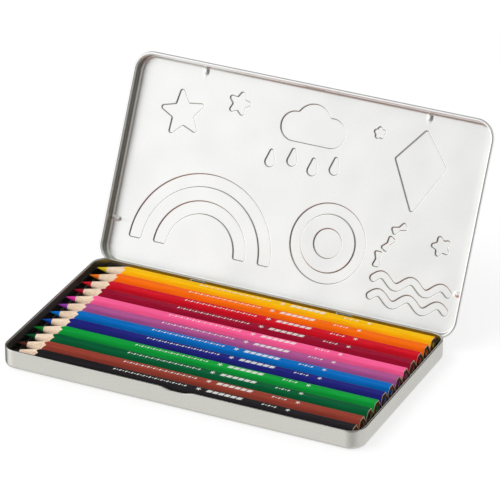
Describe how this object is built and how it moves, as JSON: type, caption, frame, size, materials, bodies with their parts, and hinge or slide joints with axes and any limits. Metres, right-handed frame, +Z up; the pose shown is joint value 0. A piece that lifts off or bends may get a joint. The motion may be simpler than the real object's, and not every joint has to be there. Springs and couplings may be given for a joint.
{
  "type": "pencil tin",
  "caption": "Flat tinplate pencil box with a lid hinged on a wire, a moulded tray with a groove per pencil, and a row of hexagonal coloured pencils.",
  "frame": {"origin": "middle of the base's underside", "axes": "+X along the pencils from their tips to their cut ends, +Y towards the hinge, +Z up"},
  "size_m": [0.1864, 0.1522, 0.0986],
  "materials": {
    "base_tinplate": "satin bare tinplate",
    "tray_plastic": "glossy black vacuum-formed sheet",
    "hinge_steel": "bright drawn wire",
    "lid_tinplate": "satin bare tinplate with pressed relief",
    "yellow_casing": "gloss lacquer over wood, bare at the sharpened cone",
    "yellow_lead": "waxy pigmented core",
    "orange_casing": "gloss lacquer over wood, bare at the sharpened cone",
    "orange_lead": "waxy pigmented core",
    "red_casing": "gloss lacquer over wood, bare at the sharpened cone",
    "red_lead": "waxy pigmented core",
    "crimson_casing": "gloss lacquer over wood, bare at the sharpened cone",
    "crimson_lead": "waxy pigmented core",
    "pink_casing": "gloss lacquer over wood, bare at the sharpened cone",
    "pink_lead": "waxy pigmented core",
    "violet_casing": "gloss lacquer over wood, bare at the sharpened cone",
    "violet_lead": "waxy pigmented core",
    "sky_blue_casing": "gloss lacquer over wood, bare at the sharpened cone",
    "sky_blue_lead": "waxy pigmented core",
    "dark_blue_casing": "gloss lacquer over wood, bare at the sharpened cone",
    "dark_blue_lead": "waxy pigmented core",
    "light_green_casing": "gloss lacquer over wood, bare at the sharpened cone",
    "light_green_lead": "waxy pigmented core",
    "dark_green_casing": "gloss lacquer over wood, bare at the sharpened cone",
    "dark_green_lead": "waxy pigmented core",
    "brown_casing": "gloss lacquer over wood, bare at the sharpened cone",
    "brown_lead": "waxy pigmented core",
    "black_casing": "gloss lacquer over wood, bare at the sharpened cone",
    "black_lead": "waxy pigmented core"
  },
  "bodies": {
    "base": {"base_shell": "base_tinplate", "tray": "tray_plastic", "hinge_wire": "hinge_steel"},
    "lid": {"lid_shell": "lid_tinplate"},
    "yellow_pencil": {"yellow_casing": "yellow_casing", "yellow_lead": "yellow_lead"},
    "orange_pencil": {"orange_casing": "orange_casing", "orange_lead": "orange_lead"},
    "red_pencil": {"red_casing": "red_casing", "red_lead": "red_lead"},
    "crimson_pencil": {"crimson_casing": "crimson_casing", "crimson_lead": "crimson_lead"},
    "pink_pencil": {"pink_casing": "pink_casing", "pink_lead": "pink_lead"},
    "violet_pencil": {"violet_casing": "violet_casing", "violet_lead": "violet_lead"},
    "sky_blue_pencil": {"sky_blue_casing": "sky_blue_casing", "sky_blue_lead": "sky_blue_lead"},
    "dark_blue_pencil": {"dark_blue_casing": "dark_blue_casing", "dark_blue_lead": "dark_blue_lead"},
    "light_green_pencil": {"light_green_casing": "light_green_casing", "light_green_lead": "light_green_lead"},
    "dark_green_pencil": {"dark_green_casing": "dark_green_casing", "dark_green_lead": "dark_green_lead"},
    "brown_pencil": {"brown_casing": "brown_casing", "brown_lead": "brown_lead"},
    "black_pencil": {"black_casing": "black_casing", "black_lead": "black_lead"}
  },
  "joints": [
    {"name": "lid_hinge", "type": "hinge", "parent": "base", "child": "lid", "pos_m": [0, 0.0514, 0.0062], "axis": [1, 0, 0], "range_deg": [0, 117]},
    {"name": "yellow_lift", "type": "slide", "parent": "base", "child": "yellow_pencil", "axis": [0, 0, -1], "range_m": [-0.025, 0]},
    {"name": "orange_lift", "type": "slide", "parent": "base", "child": "orange_pencil", "axis": [0, 0, -1], "range_m": [-0.025, 0]},
    {"name": "red_lift", "type": "slide", "parent": "base", "child": "red_pencil", "axis": [0, 0, -1], "range_m": [-0.025, 0]},
    {"name": "crimson_lift", "type": "slide", "parent": "base", "child": "crimson_pencil", "axis": [0, 0, -1], "range_m": [-0.025, 0]},
    {"name": "pink_lift", "type": "slide", "parent": "base", "child": "pink_pencil", "axis": [0, 0, -1], "range_m": [-0.025, 0]},
    {"name": "violet_lift", "type": "slide", "parent": "base", "child": "violet_pencil", "axis": [0, 0, -1], "range_m": [-0.025, 0]},
    {"name": "sky_blue_lift", "type": "slide", "parent": "base", "child": "sky_blue_pencil", "axis": [0, 0, -1], "range_m": [-0.025, 0]},
    {"name": "dark_blue_lift", "type": "slide", "parent": "base", "child": "dark_blue_pencil", "axis": [0, 0, -1], "range_m": [-0.025, 0]},
    {"name": "light_green_lift", "type": "slide", "parent": "base", "child": "light_green_pencil", "axis": [0, 0, -1], "range_m": [-0.025, 0]},
    {"name": "dark_green_lift", "type": "slide", "parent": "base", "child": "dark_green_pencil", "axis": [0, 0, -1], "range_m": [-0.025, 0]},
    {"name": "brown_lift", "type": "slide", "parent": "base", "child": "brown_pencil", "axis": [0, 0, -1], "range_m": [-0.025, 0]},
    {"name": "black_lift", "type": "slide", "parent": "base", "child": "black_pencil", "axis": [0, 0, -1], "range_m": [-0.025, 0]}
  ]
}
